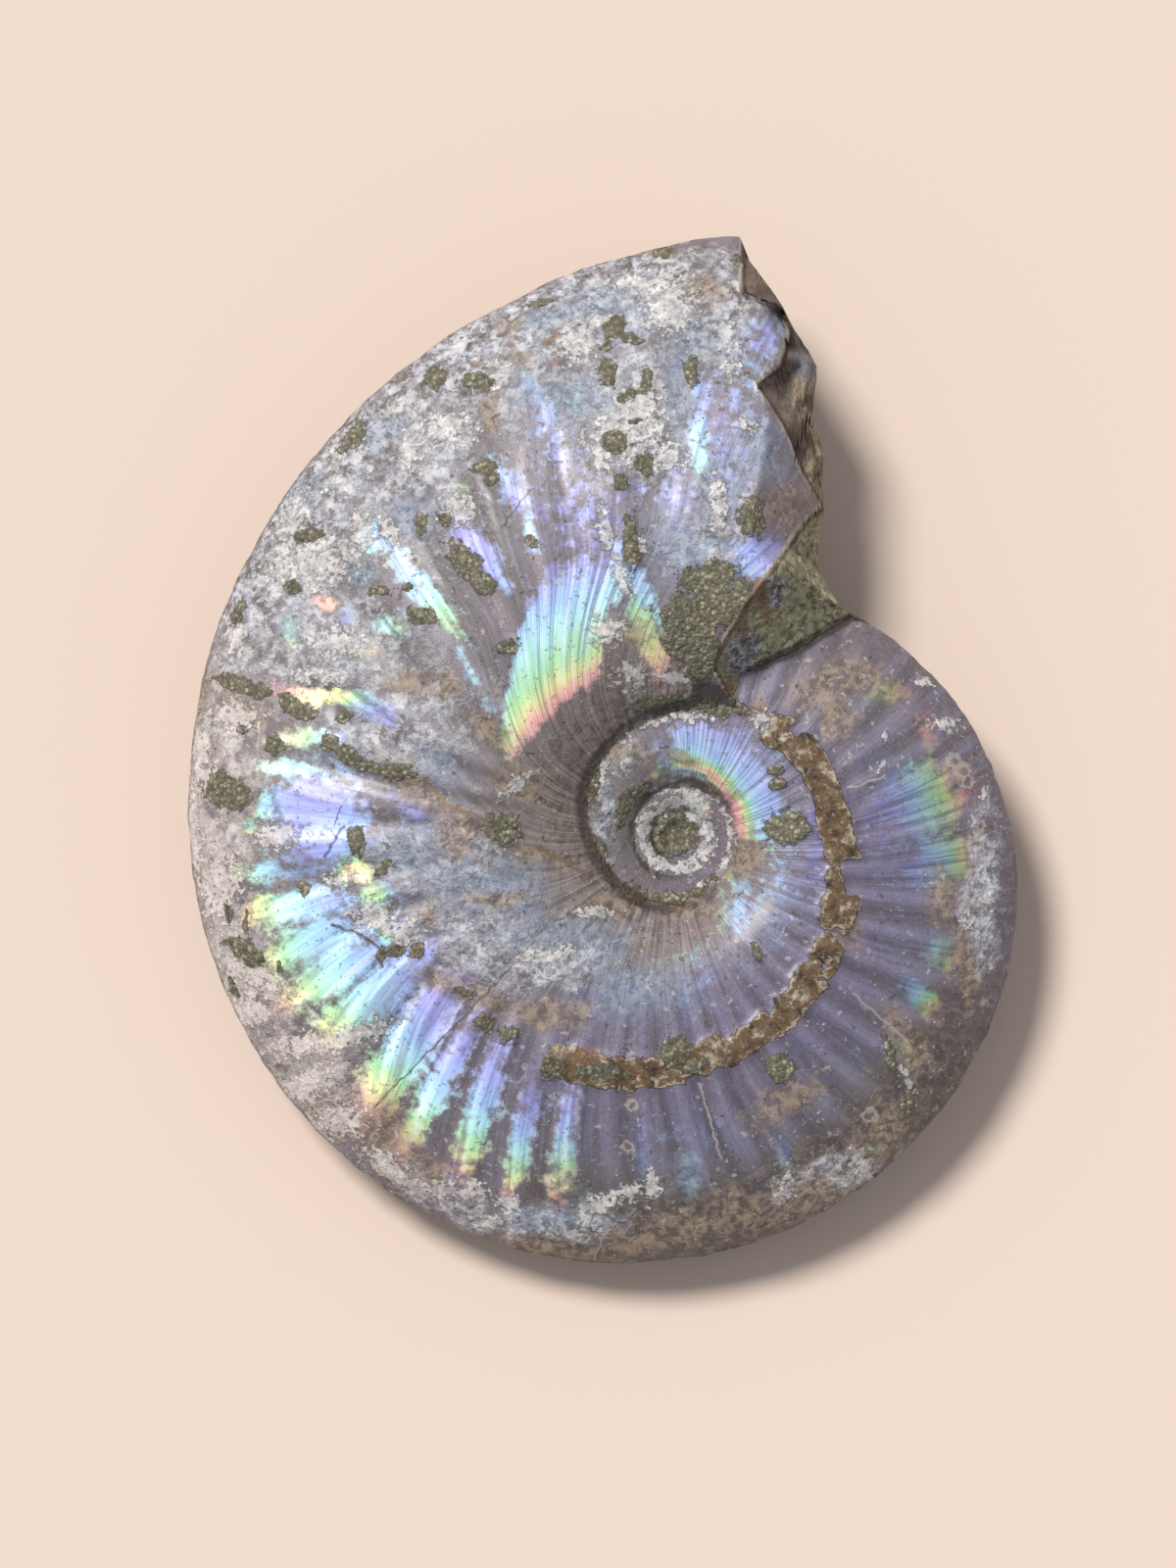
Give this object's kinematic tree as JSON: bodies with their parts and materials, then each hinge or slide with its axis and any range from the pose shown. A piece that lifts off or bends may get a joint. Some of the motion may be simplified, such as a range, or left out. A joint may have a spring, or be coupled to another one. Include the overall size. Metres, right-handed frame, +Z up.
{
  "type": "ammonite fossil",
  "caption": "Flat coiled fossil shell with ribbed, iridescent nacre, sandstone in its umbilicus and a broken mouth, lying on its flank.",
  "frame": {"origin": "middle of the fossil's box at the surface that it rests on", "axes": "+Z up, out of the flank that faces the viewer; +Y towards the broken mouth, along the longest way across the coil; +X to the right"},
  "size_m": [0.0764, 0.0943, 0.0247],
  "materials": {
    "nacre": "satin mother-of-pearl with chalky, sandy and calcite patches"
  },
  "bodies": {
    "root": {"ammonite": "nacre"}
  },
  "joints": []
}
